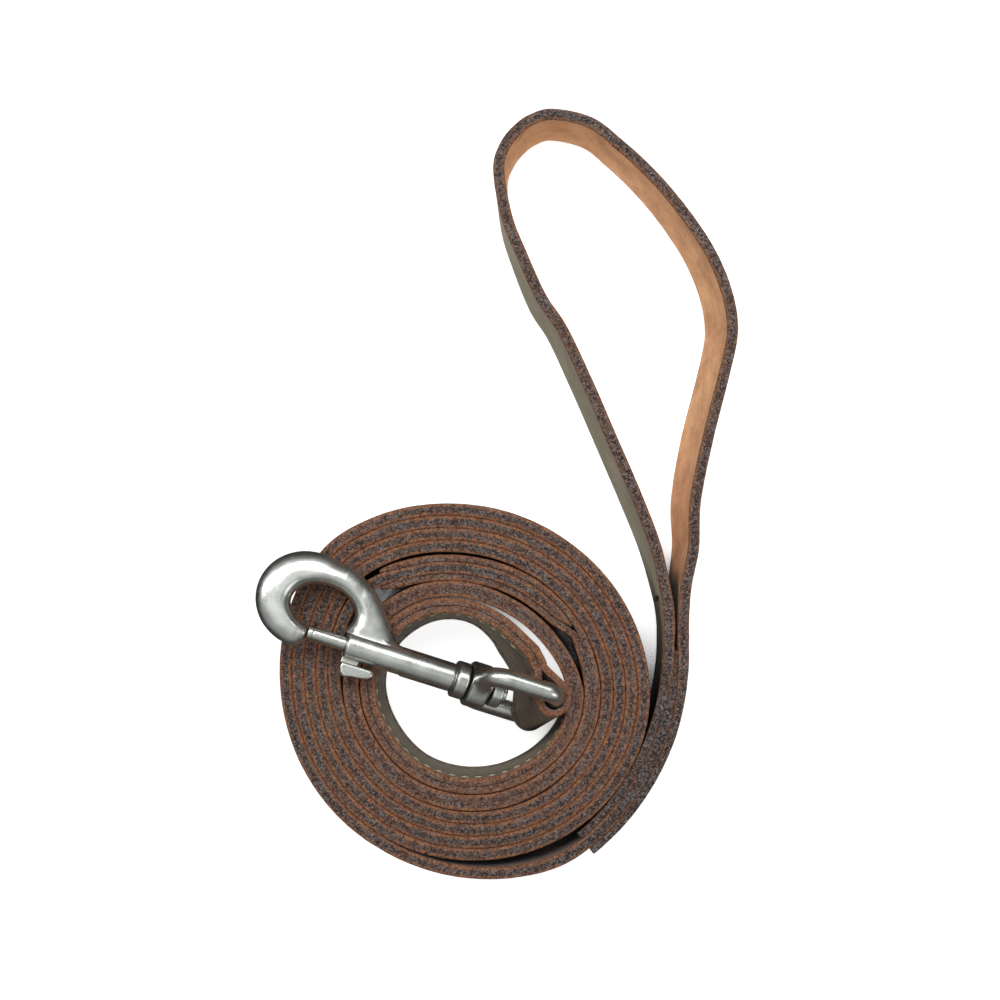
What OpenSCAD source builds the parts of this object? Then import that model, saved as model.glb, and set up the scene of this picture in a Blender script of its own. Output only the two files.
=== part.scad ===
/* [Leather] */
// Width of every strap, which is the height of the coil
strap_w = 19; // [16:0.5:20]
// Thickness of the long single strap
main_t = 3.1; // [2.6:0.1:3.1]
// Thickness of each ply of the doubled strap at the snap
ply_t = 2.05; // [1.6:0.05:2.05]
// Thickness of the handle strap in its loop
loop_t = 2.9; // [2.4:0.1:3]
// Thickness of a handle tail, where it clasps the long strap
tail_t = 2.05; // [1.6:0.05:2.05]
// Thickness of the doubled strap's tails, where they clasp the long strap
splice_t = 1.7; // [1.4:0.05:1.7]

/* [Thread] */
// Distance from one stitch to the next
stitch_pitch = 3.7; // [3:0.1:6]
// Visible length of a stitch
stitch_l = 1.9; // [1.2:0.1:2.4]
// Thickness of the thread
thread_t = 0.6; // [0.4:0.05:0.8]
// Distance of each row of stitches from the strap's edge
seam_inset = 3.2; // [2:0.1:5]

/* [Snap] */
// Radius of the barrel
barrel_r = 3.7; // [3.2:0.1:3.7]
// Radius of the sliding bolt
bolt_r = 1.8; // [1.4:0.1:2.2]
// Radial clearance of the bolt in its bore
bolt_gap = 0.06; // [0.03:0.01:0.1]
// How far the bolt slides back
bolt_travel = 10.7; // [6:0.1:10.7]
// Radius of the eye's round bar
eye_bar_r = 2.5; // [2.2:0.05:2.5]
// Radius of the swivel rivet's shank
rivet_r = 2.4; // [1.8:0.1:2.6]
// Radial clearance of the rivet in the eye's collar
rivet_gap = 0.06; // [0.03:0.01:0.1]

/* [Hidden] */
$fn = 48;

LEATHER = [0.27, 0.19, 0.16];
HANDLE_LEATHER = [0.5, 0.32, 0.2];
THREAD = [0.82, 0.78, 0.62];
NICKEL = [0.75, 0.74, 0.71];
STEEL = [0.6, 0.6, 0.62];

// All routes are measured from the coil's centre, which stands here from the middle of the object's base.
coil_centre = [-8.2, -50.8];
// Play left between leather faces that lie on each other
lay = 0.04;
// Every strap of the coil is drawn with a station at each of these angles, so that their faces lie parallel.
coil_step = 4;

// ---- Helpers ----

// Turns a vector a quarter turn, to the left of its direction.
function left_of(v) = [-v.y, v.x];
function unit(v) = v / norm(v);

// Smooth curve through p0..p3, between p1 and p2.
function curve4(p0, p1, p2, p3, t) =
    0.5 * (2 * p1 + (p2 - p0) * t + (2 * p0 - 5 * p1 + 4 * p2 - p3) * t * t
           + (3 * p1 - p0 - 3 * p2 + p3) * t * t * t);

// Value at x of a table [[x, value], ...] with rising x, as a smooth curve.
function row_below(table, x, i = 0) =
    i + 2 >= len(table) || table[i + 1][0] > x ? i : row_below(table, x, i + 1);
function look_up(table, x) =
    let (i = row_below(table, x), last = len(table) - 1,
         a = table[i], b = table[i + 1],
         t = min(1, max(0, (x - a[0]) / (b[0] - a[0]))),
         sa = i == 0 ? (b[1] - a[1]) / (b[0] - a[0]) : (b[1] - table[i - 1][1]) / (b[0] - table[i - 1][0]),
         sb = i + 2 > last ? (b[1] - a[1]) / (b[0] - a[0]) : (table[i + 2][1] - a[1]) / (table[i + 2][0] - a[0]),
         w = b[0] - a[0])
    (2 * t * t * t - 3 * t * t + 1) * a[1] + (t * t * t - 2 * t * t + t) * w * sa
    + (3 * t * t - 2 * t * t * t) * b[1] + (t * t * t - t * t) * w * sb;

// Point at an angle and distance from the coil's centre. Angles run clockwise, the way the coil winds inward.
function polar(angle, r) = [r * cos(angle), -r * sin(angle)];

// ---- The coil ----

// One turn of the long strap is this much nearer the centre than the turn outside it.
main_pitch = main_t + lay;
// One turn of the doubled strap is this much nearer the centre than its turn outside it.
lap_pitch = 2 * ply_t + 5 * lay;

// Radius of the long strap's first turn round the coil, which isn't quite round: [angle, radius].
MAIN_ROUND = [[0, 48.6], [15, 48.6], [30, 48.0], [45, 47.4], [60, 46.7], [75, 46.1], [90, 45.7],
              [120, 45.6], [150, 46.1], [180, 47.9], [225, 52.5], [240, 51.6], [270, 48.9],
              [300, 47.7], [330, 47.8], [360, 48.6]];
// The outer end bulges off the coil, from the handle's splice until it lies down on the next turn.
MAIN_START = [[-12, 54.9], [0, 52.8], [15, 50.9], [30, 49.8], [45, 49.4], [60, 49.4], [75, 47.8],
              [90, 46.3], [105, 45.2], [120, 44.55]];
// The inner end drops inward between the doubled strap's tails.
MAIN_END = [[1640, 35.7], [1655, 37.0], [1665, 37.2], [1674, 36.0], [1680, 34.7], [1690, 33.4],
            [1710, 31.55], [1725, 30.8], [1748, 30.47], [1760, 30.77], [1764, 31.17], [1768, 31.7]];
main_from = -12;
main_to = 1768;
// Both ends are pared thin, where the other straps clasp them: [angle, thickness].
START_THIN = [[main_from, 0.7], [12, main_t]];
END_THIN = [[1748, main_t], [1760, 2.5], [1764, 1.7], [main_to, 0.6]];
function main_round(angle) = look_up(MAIN_ROUND, angle - 360 * floor(angle / 360));
function main_r(angle) =
    angle < 120 ? look_up(MAIN_START, angle) :
    angle > 1640 ? look_up(MAIN_END, angle) :
    main_round(angle) - main_pitch * angle / 360;
function main_thick(angle) =
    angle < 12 ? lookup(angle, START_THIN) : lookup(angle, END_THIN);

// Radius of the doubled strap's middle, on its own two turns: 0 is where its first full turn starts.
LAP_ROUND = [[0, 32.25], [15, 32.3], [30, 31.8], [45, 31.0], [60, 30.3], [90, 29.6], [120, 29.7],
             [150, 30.3], [180, 31.9], [200, 32.5], [215, 32.4], [240, 31.4], [270, 29.3],
             [285, 28.4], [300, 28.1], [315, 28.4], [330, 29.2], [345, 30.6], [360, 32.25]];
// The last stretch runs straighter, towards the eye.
LAP_LAST = [[640, 0], [660, -0.5], [675, -1.0], [690, -0.9]];
lap_to = 688;
function lap_r(angle) =
    look_up(LAP_ROUND, angle - 360 * floor(angle / 360)) - lap_pitch * angle / 360
    + (angle > 640 ? look_up(LAP_LAST, angle) : 0);

// ---- The snap's place ----

// Point on the barrel's axis, close to the eye's far bar, that lengths along the snap are measured from
snap_at = [19.1, -4.2, 13.4];
// Direction of the barrel seen from above, and how steeply it climbs onto the coil
snap_heading = 161;
snap_climb = 12.6;
// The eye's far bar stands this far along the snap.
far_x = -0.1;
far_at = snap_at + far_x * [cos(snap_heading) * cos(snap_climb), sin(snap_heading) * cos(snap_climb),
                            sin(snap_climb)];
// Roll of the eye and of the hook about the barrel
eye_roll = 24.5;
hook_roll = 9;
// Direction of the eye's far bar, upward
bar_up = [cos(snap_heading) * -sin(snap_climb) * cos(eye_roll) + sin(snap_heading) * sin(eye_roll),
          sin(snap_heading) * -sin(snap_climb) * cos(eye_roll) - cos(snap_heading) * sin(eye_roll),
          cos(snap_climb) * cos(eye_roll)];

// Puts a piece drawn along +X, from the eye's end towards the hook, in its place.
module on_snap(roll) {
    translate([coil_centre.x + snap_at.x, coil_centre.y + snap_at.y, snap_at.z])
        rotate([0, 0, snap_heading])
            rotate([0, -snap_climb, 0])
                rotate([roll, 0, 0])
                    children();
}

// ---- Straps ----

// A station of a strap is [x, y, lean x, lean y, height of the lower edge, thickness]: x and y are the middle of
// the upper edge, and the lean is how far the lower edge stands from under it.
function spot(station) = [station[0], station[1]];
function lean_of(station) = [station[2], station[3]];
function tall(station) = sqrt(strap_w * strap_w - station[2] * station[2] - station[3] * station[3]);
function side_at(stations, i) =
    unit(left_of(spot(stations[min(i + 1, len(stations) - 1)]) - spot(stations[max(i - 1, 0)])));
function corners(stations, i) =
    let (s = stations[i], side = side_at(stations, i) * s[5] / 2, top = spot(s), foot = top + lean_of(s),
         high = s[4] + tall(s))
    [[top.x + side.x, top.y + side.y, high], [top.x - side.x, top.y - side.y, high],
     [foot.x - side.x, foot.y - side.y, s[4]], [foot.x + side.x, foot.y + side.y, s[4]]];

module strap(stations) {
    n = len(stations);
    points = [for (i = [0:n - 1]) each corners(stations, i)];
    sides = [for (i = [0:n - 2], k = [0:3]) let (a = 4 * i + k, b = 4 * i + (k + 1) % 4)
             each [[a, b + 4, b], [a, a + 4, b + 4]]];
    translate(coil_centre)
        polyhedron(points, concat([[0, 1, 2, 3]], sides, [[4 * n - 1, 4 * n - 2, 4 * n - 3, 4 * n - 4]]));
}

// The long strap stands upright all the way, so it is a drawn outline raised to the strap's width.
module main_strap() {
    // It starts a little inside the crotch of the two legs of the hand loop.
    angles = concat([main_from + 1], [for (a = [main_from + coil_step:coil_step:main_to]) a]);
    outer = [for (a = angles) polar(a, main_r(a) + main_thick(a) / 2)];
    inner = [for (i = [len(angles) - 1:-1:0]) polar(angles[i], main_r(angles[i]) - main_thick(angles[i]) / 2)];
    color(LEATHER)
        translate(coil_centre)
            linear_extrude(strap_w)
                polygon(concat(outer, inner));
}

// The hand loop: [x, y, lean x, lean y] up the right leg, over the top and down the left leg.
LOOP = [[55.6, 13.8, 0, 0], [55.6, 19, -0.3, 0], [56.3, 27.5, -1.2, 0], [58.2, 37, -2.2, 0],
        [58.7, 49, -3, 0], [61.8, 64.5, -3.6, 0], [65.7, 80, -3.6, 0], [67.8, 89, -3.6, 0],
        [68.2, 95, -3.4, -0.2], [66.8, 102.5, -3, -0.4], [63.7, 110.5, -2.6, -0.6],
        [59.2, 118.2, -2, -0.9], [52.2, 127.5, -1.5, -1], [45.2, 135, -1.1, -1],
        [38.5, 141, -0.7, -1.1], [31.5, 146.2, -0.2, -1.2], [22, 148.3, 0.2, -1.2],
        [16.4, 146.8, 0.7, -1.2], [12.8, 144.2, 1.1, -1.1], [9.7, 140.2, 1.3, -0.8],
        [8.1, 134, 1, -0.6], [10.2, 122, 0, -0.4], [13.8, 112.8, -0.8, -0.5],
        [19.1, 101.2, -1.4, -0.6], [24.4, 93.2, -1.7, -0.6], [30.7, 80, -1.9, -0.6],
        [37.4, 64.6, -1.9, -0.6], [44, 49.2, -1.9, -0.6], [48.6, 36.8, -1.6, -0.4],
        [51.3, 24.4, -0.8, 0], [52, 18, -0.3, 0], [51.9, 13.8, 0, 0]];
loop_steps = 3;
// A tail is thinned over the long strap's pared end, and again towards its own end: [angle, thickness].
tail_to = 52;
tail_end_t = tail_t - 0.25;
TAIL_THIN = [[main_from, loop_t], [12, tail_t], [tail_to, tail_end_t]];
function tail_station(angle, outward) =
    let (t = lookup(angle, TAIL_THIN),
         p = polar(angle, main_r(angle) + outward * (main_thick(angle) / 2 + 1.5 * lay + t / 2)))
    [p.x, p.y, 0, 0, 0, t];
function loop_station(row) = [row[0], row[1], row[2], row[3], 0, loop_t];
function handle_stations() =
    let (last = len(LOOP) - 1,
         tail_angles = [for (a = [tail_to:-coil_step:main_from]) a])
    concat(
        [for (a = tail_angles) tail_station(a, 1)],
        [for (i = [0:last - 1], k = [0:loop_steps - 1])
            loop_station(curve4(LOOP[max(0, i - 1)], LOOP[i], LOOP[i + 1], LOOP[min(last, i + 2)],
                                k / loop_steps))],
        [loop_station(LOOP[last])],
        [for (i = [len(tail_angles) - 1:-1:0]) tail_station(tail_angles[i], -1)]);

module handle_strap() {
    color(HANDLE_LEATHER) strap(handle_stations());
}

// The doubled strap leans inward on its last turn, and climbs to the eye: [angle, amount].
LAP_LEAN = [[480, 0], [540, 1.4], [585, 3], [630, 3.4], [660, 4.8], [690, 7]];
LAP_LIFT = [[580, 0], [630, 0.7], [660, 1.5], [690, 2.4]];
fold_lean = -strap_w * [bar_up.x, bar_up.y];
fold_lift = far_at.z - strap_w * bar_up.z / 2;
// The fold lies a little beyond the bar that pulls on it.
fold_slack = [0.08, -0.18];
fold_at = [far_at.x, far_at.y] - fold_lean / 2 + fold_slack;
// The leather is pressed thinner where it bends round the bar.
fold_t = ply_t - 0.2;
fold_r = eye_bar_r + 0.12 + fold_t / 2;

function lap_lean(angle) =
    let (amount = angle <= 480 ? 0 : look_up(LAP_LEAN, angle), heading = max(-132, 540 - angle))
    amount * [cos(heading), sin(heading)];
function lap_lift(angle) = angle <= 580 ? 0 : look_up(LAP_LIFT, angle);
// Where the plies lean they are pressed a little thinner.
function lap_thick(angle) = lookup(angle, [[380, ply_t], [440, ply_t - 0.1]]);
// side is 1 for the outer ply and -1 for the inner one.
function lap_station(angle, side) =
    let (p = polar(angle, lap_r(angle) + side * (ply_t + lay) / 2), l = lap_lean(angle))
    [p.x, p.y, l.x, l.y, lap_lift(angle), lap_thick(angle)];

// Round the bar the strap's edge stays square to the bar.
function fold_height(p) = fold_lift - (p - fold_at) * [bar_up.x, bar_up.y] / bar_up.z;
function fold_station(p) = [p.x, p.y, fold_lean.x, fold_lean.y, fold_height(p), fold_t];
fold_heading = -66;
fold_way = [cos(fold_heading), sin(fold_heading)];
fold_step = 15;
fold_straight = 1.6 * fold_way;
function fold_point(turn) = fold_at + fold_r * [cos(fold_heading + turn), sin(fold_heading + turn)];

// Up to the eye the plies lie together, as they tip over to the fold's slant. Places are measured back from the
// middle of the fold.
APPROACH = [9.5, 7.7];
approach_from = norm(fold_at - polar(lap_to, lap_r(lap_to)));
function approach_station(back, side) =
    let (p = fold_at - back * fold_way + side * (ply_t + 3 * lay) / 2 * left_of(fold_way),
         share = 1 - back / approach_from,
         l = (1 - share) * lap_lean(lap_to) + share * fold_lean)
    [p.x, p.y, l.x, l.y, (1 - share) * lap_lift(lap_to) + share * fold_height(p), lap_thick(lap_to)];

// Three stations in between, on the smooth way from a to b through the neighbours before and after.
function between(before, a, b, after) =
    [for (t = [0.25, 0.5, 0.75]) curve4(before, a, b, after, t)];

// The doubled strap's first full turn starts five turns after the long strap's.
lap_start = 1800;
// The tails clasp the long strap's inner end. Each starts thin, between two of the long strap's stations, and
// swells to a full ply once it is past that end.
outer_tail_from = 1674;
inner_tail_from = 1670;
tip_t = 0.9;
tip_l = 6;
function splice_thick(angle, from) =
    lookup(angle, [[from, tip_t], [from + tip_l, splice_t], [main_to, splice_t], [main_to + 12, ply_t]]);
// The inner tail bends round the pared end a little way off it.
INNER_SLACK = [[1752, 0], [1764, 0.2], [main_to, 0.3]];
function clasp_r(angle, side, t) =
    main_r(angle) + side * (main_thick(angle) / 2 + 2.5 * lay + t / 2) - (side > 0 ? 0 : lookup(angle, INNER_SLACK));
function outer_r(angle) =
    look_up([[main_to, clasp_r(main_to, 1, splice_t)], [1775, 32.95], [1785, 32.95],
             [lap_start, lap_r(0) + (ply_t + lay) / 2]], angle);
function splice_station(angle, side) =
    let (t = splice_thick(angle, side > 0 ? outer_tail_from : inner_tail_from),
         r = angle <= main_to ? clasp_r(angle, side, t) : outer_r(angle) - (side > 0 ? 0 : t + lay),
         p = polar(angle, r))
    [p.x, p.y, 0, 0, 0, t];
function splice_angles(from) = concat([from], [for (a = [from + 2:coil_step:lap_start - 1]) a]);

function hook_stations() =
    let (inner_angles = splice_angles(inner_tail_from),
         outer = concat([for (a = splice_angles(outer_tail_from)) splice_station(a, 1)],
                        [for (a = [0:coil_step:lap_to]) lap_station(a, 1)],
                        [for (back = APPROACH) approach_station(back, 1)]),
         inner = concat([for (i = [len(APPROACH) - 1:-1:0]) approach_station(APPROACH[i], -1)],
                        [for (a = [lap_to:-coil_step:0]) lap_station(a, -1)],
                        [for (i = [len(inner_angles) - 1:-1:0]) splice_station(inner_angles[i], -1)]),
         fold = concat([fold_station(fold_point(90) - fold_straight)],
                       [for (turn = [90:-fold_step:-90]) fold_station(fold_point(turn))],
                       [fold_station(fold_point(-90) - fold_straight)]),
         n = len(outer), m = len(fold))
    concat(outer,
           between(outer[n - 2], outer[n - 1], fold[0], fold[1]),
           fold,
           between(fold[m - 2], fold[m - 1], inner[0], inner[1]),
           inner);

module hook_strap() {
    color(LEATHER) strap(hook_stations());
}

// ---- Thread ----

// Angles a stitch pitch apart along a route whose radius is given by its own distance from the centre.
function pitch_angles(from, to, mode) =
    from > to ? [] :
    concat([from], pitch_angles(from + stitch_pitch / seam_r(from, mode) * 180 / PI, to, mode));
function seam_r(angle, mode) = mode == "lap" ? lap_r(angle) : main_r(angle);

// One stitch: a short run of thread right through the layers. It stands proud of the inner face, and is sunk a
// little into the outer one.
proud = 0.25;
sunk = 0.2;
module stitch(angle, r, half, lean, foot, up) {
    p = polar(angle, r) + lean * (1 - up / strap_w);
    translate([coil_centre.x + p.x, coil_centre.y + p.y, foot + up])
        rotate([0, 0, -angle])
            translate([-half - proud, -stitch_l / 2, -thread_t / 2])
                cube([2 * half + proud - sunk, stitch_l, thread_t]);
}

module hook_seam(up) {
    for (a = pitch_angles(4, lap_to - 4, "lap"))
        stitch(a, lap_r(a), ply_t, lap_lean(a), lap_lift(a), up);
    for (a = pitch_angles(outer_tail_from + 4, main_to - 12, "main"))
        stitch(a, main_r(a), main_t / 2 + splice_t, [0, 0], 0, up);
}

module handle_seam(up) {
    for (a = pitch_angles(main_from + 4, tail_to - 4, "main"))
        stitch(a, main_r(a), main_t / 2 + tail_end_t, [0, 0], 0, up);
}

module hook_seam_upper() { color(THREAD) hook_seam(strap_w - seam_inset); }
module hook_seam_lower() { color(THREAD) hook_seam(seam_inset); }
module handle_seam_upper() { color(THREAD) handle_seam(strap_w - seam_inset); }
module handle_seam_lower() { color(THREAD) handle_seam(seam_inset); }

// The thread's melted end, a bead on the outer face of the left leg
knot_r = 0.75;
module thread_knot() {
    color([0.1, 0.08, 0.07])
        translate([coil_centre.x + 48.95, coil_centre.y + 23.5, 13])
            sphere(knot_r);
}

// ---- The snap, drawn along +X from the eye's far bar, with the hook on the -Y side ----

collar_x = [15.35, 20.7];
flange_x = [21.2, 24.4];
barrel_x = [24.9, 53.9];
tip_x = 64.25;
slot_to = barrel_x[1] - 15.6;
bore_to = 28;
rivet_to = 26;
flange_r = 4.8;
neck_r = 3.2;
bow_at = [66.2, -7.7];
bow_r = 12.2;
// The bow reaches this much further at its far end.
bow_swell = 1.1;
eye_hole = [62, -6.9, 8.4, 5.8];
web_t = 5.2;
bow_t = 6.4;
slot_w = 2.2;

module along_x(from, to, r) {
    translate([from, 0, 0]) rotate([0, 90, 0]) cylinder(h = to - from, r = r);
}

// The hook seen flat: a shoulder that runs up from the barrel, the bow, and a rounded tip.
function bow_point(angle) =
    bow_at + (bow_r + bow_swell * pow(max(0, cos(angle)), 2)) * [cos(angle), sin(angle)];
module hook_outline() {
    difference() {
        polygon(concat([[40.8, -barrel_r + 0.4], [44.6, -8.4], [47.8, -12.2], [50.6, -15], [54.4, -17.5],
                        [58.3, -19.1]],
                       [for (a = [-108:6:84]) bow_point(a)],
                       [[65.6, 4.1], [64.6, 3.1], [tip_x, 2], [tip_x, 0], [40.8, 0]]));
        translate([eye_hole[0], eye_hole[1]]) scale([eye_hole[2] / eye_hole[3], 1]) circle(eye_hole[3], $fn = 72);
        translate([barrel_x[1], -2.5]) square([tip_x - barrel_x[1], 12]);
        translate([30, 0]) square([barrel_x[1] - 30, 12]);
    }
}

module snap_body() {
    color(NICKEL)
        on_snap(hook_roll)
            difference() {
                union() {
                    along_x(barrel_x[0], barrel_x[1], barrel_r);
                    along_x(flange_x[0], flange_x[1], flange_r);
                    along_x(flange_x[1] - 0.1, barrel_x[0] + 0.1, neck_r);
                    translate([0, 0, -web_t / 2]) linear_extrude(web_t) hook_outline();
                    translate([0, 0, -bow_t / 2])
                        linear_extrude(bow_t)
                            intersection() {
                                hook_outline();
                                translate([60, -30]) square([30, 60]);
                            }
                }
                along_x(bore_to, barrel_x[1] + 1, bolt_r + bolt_gap);
                translate([slot_to, 0, -slot_w / 2]) cube([barrel_x[1] - slot_to + 1, 8, slot_w]);
                along_x(flange_x[0] - 1, rivet_to, rivet_r);
            }
}

stud_x = barrel_x[1] - 4.65;
stud_l = 4.6;
stud_w = 2;
stud_foot = 0.9;
bolt_back = 43;
module bolt() {
    color(NICKEL)
        on_snap(hook_roll)
            difference() {
                union() {
                    along_x(bolt_back, tip_x - 0.6, bolt_r);
                    translate([tip_x - 0.6, 0, 0]) rotate([0, 90, 0]) cylinder(h = 0.45, r1 = bolt_r, r2 = bolt_r - 0.4);
                }
                translate([stud_x, stud_foot, -stud_w / 2]) cube([stud_l, 8, stud_w]);
            }
}

// The thumb piece: a plate that stands in the bolt, and a wedge-shaped pad outside the slot.
module trigger() {
    color(NICKEL)
        on_snap(hook_roll)
            union() {
                translate([stud_x, stud_foot, -stud_w / 2]) cube([stud_l, 5.2 - stud_foot, stud_w]);
                translate([0, 0, -2.6])
                    linear_extrude(5.2)
                        polygon([[53.7, 4.6], [53.9, 5.6], [53.4, 7.2], [52.2, 8.1], [50.6, 8], [46, 6.9],
                                 [45, 6.1], [45, 5.2], [45.8, 4.6]]);
            }
}

// The spring's wire runs round in a helix between the bolt and the end of the bore.
spring_turns = 9;
wire_r = 0.22;
spring_r = bolt_r - wire_r - 0.1;
spring_sides = 6;
spring_steps = 12;
module bolt_spring() {
    from = bore_to + wire_r + 0.02;
    to = bolt_back - wire_r - 0.02;
    n = spring_turns * spring_steps;
    points = [for (i = [0:n], k = [0:spring_sides - 1])
              let (a = 360 * i / spring_steps, b = 360 * k / spring_sides, r = spring_r + wire_r * cos(b))
              [from + (to - from) * i / n + wire_r * sin(b), r * cos(a), r * sin(a)]];
    sides = [for (i = [0:n - 1], k = [0:spring_sides - 1])
             let (a = i * spring_sides + k, b = i * spring_sides + (k + 1) % spring_sides)
             each [[a, b, b + spring_sides], [a, b + spring_sides, a + spring_sides]]];
    first = [for (k = [spring_sides - 1:-1:0]) k];
    last = [for (k = [0:spring_sides - 1]) n * spring_sides + k];
    color(STEEL) on_snap(hook_roll) polyhedron(points, concat([first], sides, [last]));
}

head_x = [11.2, 14.3];
head_r = 4.3;
head_bevel = 1.1;
module swivel_rivet() {
    color(NICKEL)
        on_snap(hook_roll)
            union() {
                along_x(head_x[1] - 1, rivet_to, rivet_r);
                along_x(head_x[0], head_x[1], head_r);
                translate([head_x[0] - head_bevel, 0, 0])
                    rotate([0, 90, 0])
                        cylinder(h = head_bevel, r1 = head_r - head_bevel, r2 = head_r);
            }
}

// Half height of the eye, to the middle of its bars
eye_h = 12.5;
near_bend = 5;
far_bend = 3;
near_x = 18;
collar_r = 6;
module bend(r) {
    rotate_extrude(angle = 90) translate([r, 0]) circle(eye_bar_r, $fn = 32);
}
module bar_z(x, from, to) { translate([x, 0, from]) cylinder(h = to - from, r = eye_bar_r, $fn = 32); }

module half_eye() {
    bar_z(far_x, -0.01, eye_h - far_bend);
    bar_z(near_x, 0, eye_h - near_bend);
    translate([far_x + far_bend, 0, eye_h - far_bend]) rotate([-90, 180, 0]) bend(far_bend);
    translate([near_x - near_bend, 0, eye_h - near_bend]) rotate([-90, -90, 0]) bend(near_bend);
    translate([far_x + far_bend, 0, eye_h]) rotate([0, 90, 0])
        cylinder(h = near_x - far_x - near_bend - far_bend, r = eye_bar_r, $fn = 32);
}

module swivel_eye() {
    color(NICKEL)
        on_snap(eye_roll)
            difference() {
                union() {
                    half_eye();
                    mirror([0, 0, 1]) half_eye();
                    along_x(collar_x[0], collar_x[1], collar_r);
                }
                along_x(collar_x[0] - 1, collar_x[1] + 1, rivet_r + rivet_gap);
            }
}

main_strap();
handle_strap();
hook_strap();
handle_seam_upper();
handle_seam_lower();
hook_seam_upper();
hook_seam_lower();
thread_knot();
snap_body();
bolt();
trigger();
bolt_spring();
swivel_rivet();
swivel_eye();
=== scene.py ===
import math

import bpy
import numpy as np
from mathutils import Matrix, Vector, noise


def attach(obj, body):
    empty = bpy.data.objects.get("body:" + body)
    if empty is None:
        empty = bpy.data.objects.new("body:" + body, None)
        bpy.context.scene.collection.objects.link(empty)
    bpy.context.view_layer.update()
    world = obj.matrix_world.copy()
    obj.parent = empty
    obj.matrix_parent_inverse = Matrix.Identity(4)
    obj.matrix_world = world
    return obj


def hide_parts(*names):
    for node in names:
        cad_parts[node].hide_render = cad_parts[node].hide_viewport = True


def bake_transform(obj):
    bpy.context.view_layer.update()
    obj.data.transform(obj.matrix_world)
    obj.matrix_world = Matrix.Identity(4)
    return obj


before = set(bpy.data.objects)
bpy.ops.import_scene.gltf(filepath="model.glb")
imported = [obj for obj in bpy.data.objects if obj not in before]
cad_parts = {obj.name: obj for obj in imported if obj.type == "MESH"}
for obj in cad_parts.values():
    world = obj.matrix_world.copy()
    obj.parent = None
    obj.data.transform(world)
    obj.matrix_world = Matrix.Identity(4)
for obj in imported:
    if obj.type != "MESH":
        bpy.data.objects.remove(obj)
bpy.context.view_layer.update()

# A leather training leash: a coiled strap that stands on its edge, a hand loop, and a swivel bolt snap.
# Shapes are worked out in millimetres, in the frame of the CAD model, and become metres in new_piece().
MM = 0.001
# Without a seed this noise would be different on every run.
noise.seed_set(1)


# ---- Camera, stage and light ----

# The camera looks straight down on the leash.
CAMERA_AT = (0.26, -1.57, 420.0)
CAMERA_LENS = 56.3
LAMP_TARGET = (0, -20, 0)
# The floor lies just under the leash, and a backdrop rises round its rim.
FLOOR_Z = -0.05
FLOOR_R = 2600
BACKDROP = [(FLOOR_R, FLOOR_Z), (FLOOR_R + 250, 40), (FLOOR_R + 380, 180), (FLOOR_R + 400, 2600)]


def make_camera():
    camera = bpy.data.objects.new("camera", bpy.data.cameras.new("camera"))
    camera.data.lens = CAMERA_LENS
    camera.data.clip_start = 0.01
    camera.location = Vector(CAMERA_AT) * MM
    bpy.context.scene.collection.objects.link(camera)
    bpy.context.scene.camera = camera


def soft_box(name, place, size, watts):
    lamp = bpy.data.lights.new(name, "AREA")
    lamp.shape = "RECTANGLE"
    lamp.size, lamp.size_y = size[0] * MM, size[1] * MM
    lamp.energy = watts
    box = bpy.data.objects.new(name, lamp)
    box.location = Vector(place) * MM
    box.rotation_euler = (Vector(LAMP_TARGET) - Vector(place)).to_track_quat("-Z", "Y").to_euler()
    bpy.context.scene.collection.objects.link(box)


def tube_faces(rings, ring, closed=True):
    """Faces of a tube of so many rings with so many points each, closed at its ends or open."""
    faces = [(i * ring + k, i * ring + (k + 1) % ring, (i + 1) * ring + (k + 1) % ring, (i + 1) * ring + k)
             for i in range(rings - 1) for k in range(ring)]
    if closed:
        faces += [tuple(range(ring))[::-1], tuple((rings - 1) * ring + k for k in range(ring))]
    return faces


def stage_surface(name, profile, look):
    """A pale surface turned about the vertical, from (radius, height) points. One point makes a disc."""
    segments = 96
    points = []
    for radius, height in profile:
        for k in range(segments):
            a = 2 * math.pi * k / segments
            points.append((radius * math.cos(a) * MM, radius * math.sin(a) * MM, height * MM))
    faces = tube_faces(len(profile), segments, closed=False) or [tuple(range(segments))]
    mesh = bpy.data.meshes.new(name)
    mesh.from_pydata(points, [], faces)
    mesh.polygons.foreach_set("use_smooth", np.ones(len(faces), bool))
    mesh.materials.append(look.material)
    stage = bpy.data.objects.new(name, mesh)
    bpy.context.scene.collection.objects.link(stage)
    # The metal mirrors the dim room below the horizon and not the stage, which keeps its rims dark.
    stage.visible_glossy = False
    return stage


def make_stage():
    look = Look("stage_white")
    # Painted light and shade: the open floor glows, as if lit from all round in a light tent, and in the
    # leash's gaps and next to it its colour and glow are darkened by how little space is free around it.
    open_share = look.open_share(10, 0.16, 0.34)
    look.finish(colour=look.mix(open_share, srgb(30, 28, 27), srgb(215, 215, 215)), roughness=0.9,
                glow=look.maths("MULTIPLY", open_share, 0.8))
    stage_surface("floor", BACKDROP[:1], look)
    backdrop = stage_surface("backdrop", BACKDROP, look)
    # Only the camera sees the backdrop, so it adds no light to the leash; the light on the leash comes from
    # the room, the lamps and the glowing floor.
    backdrop.visible_diffuse = False
    backdrop.visible_shadow = False


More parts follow.
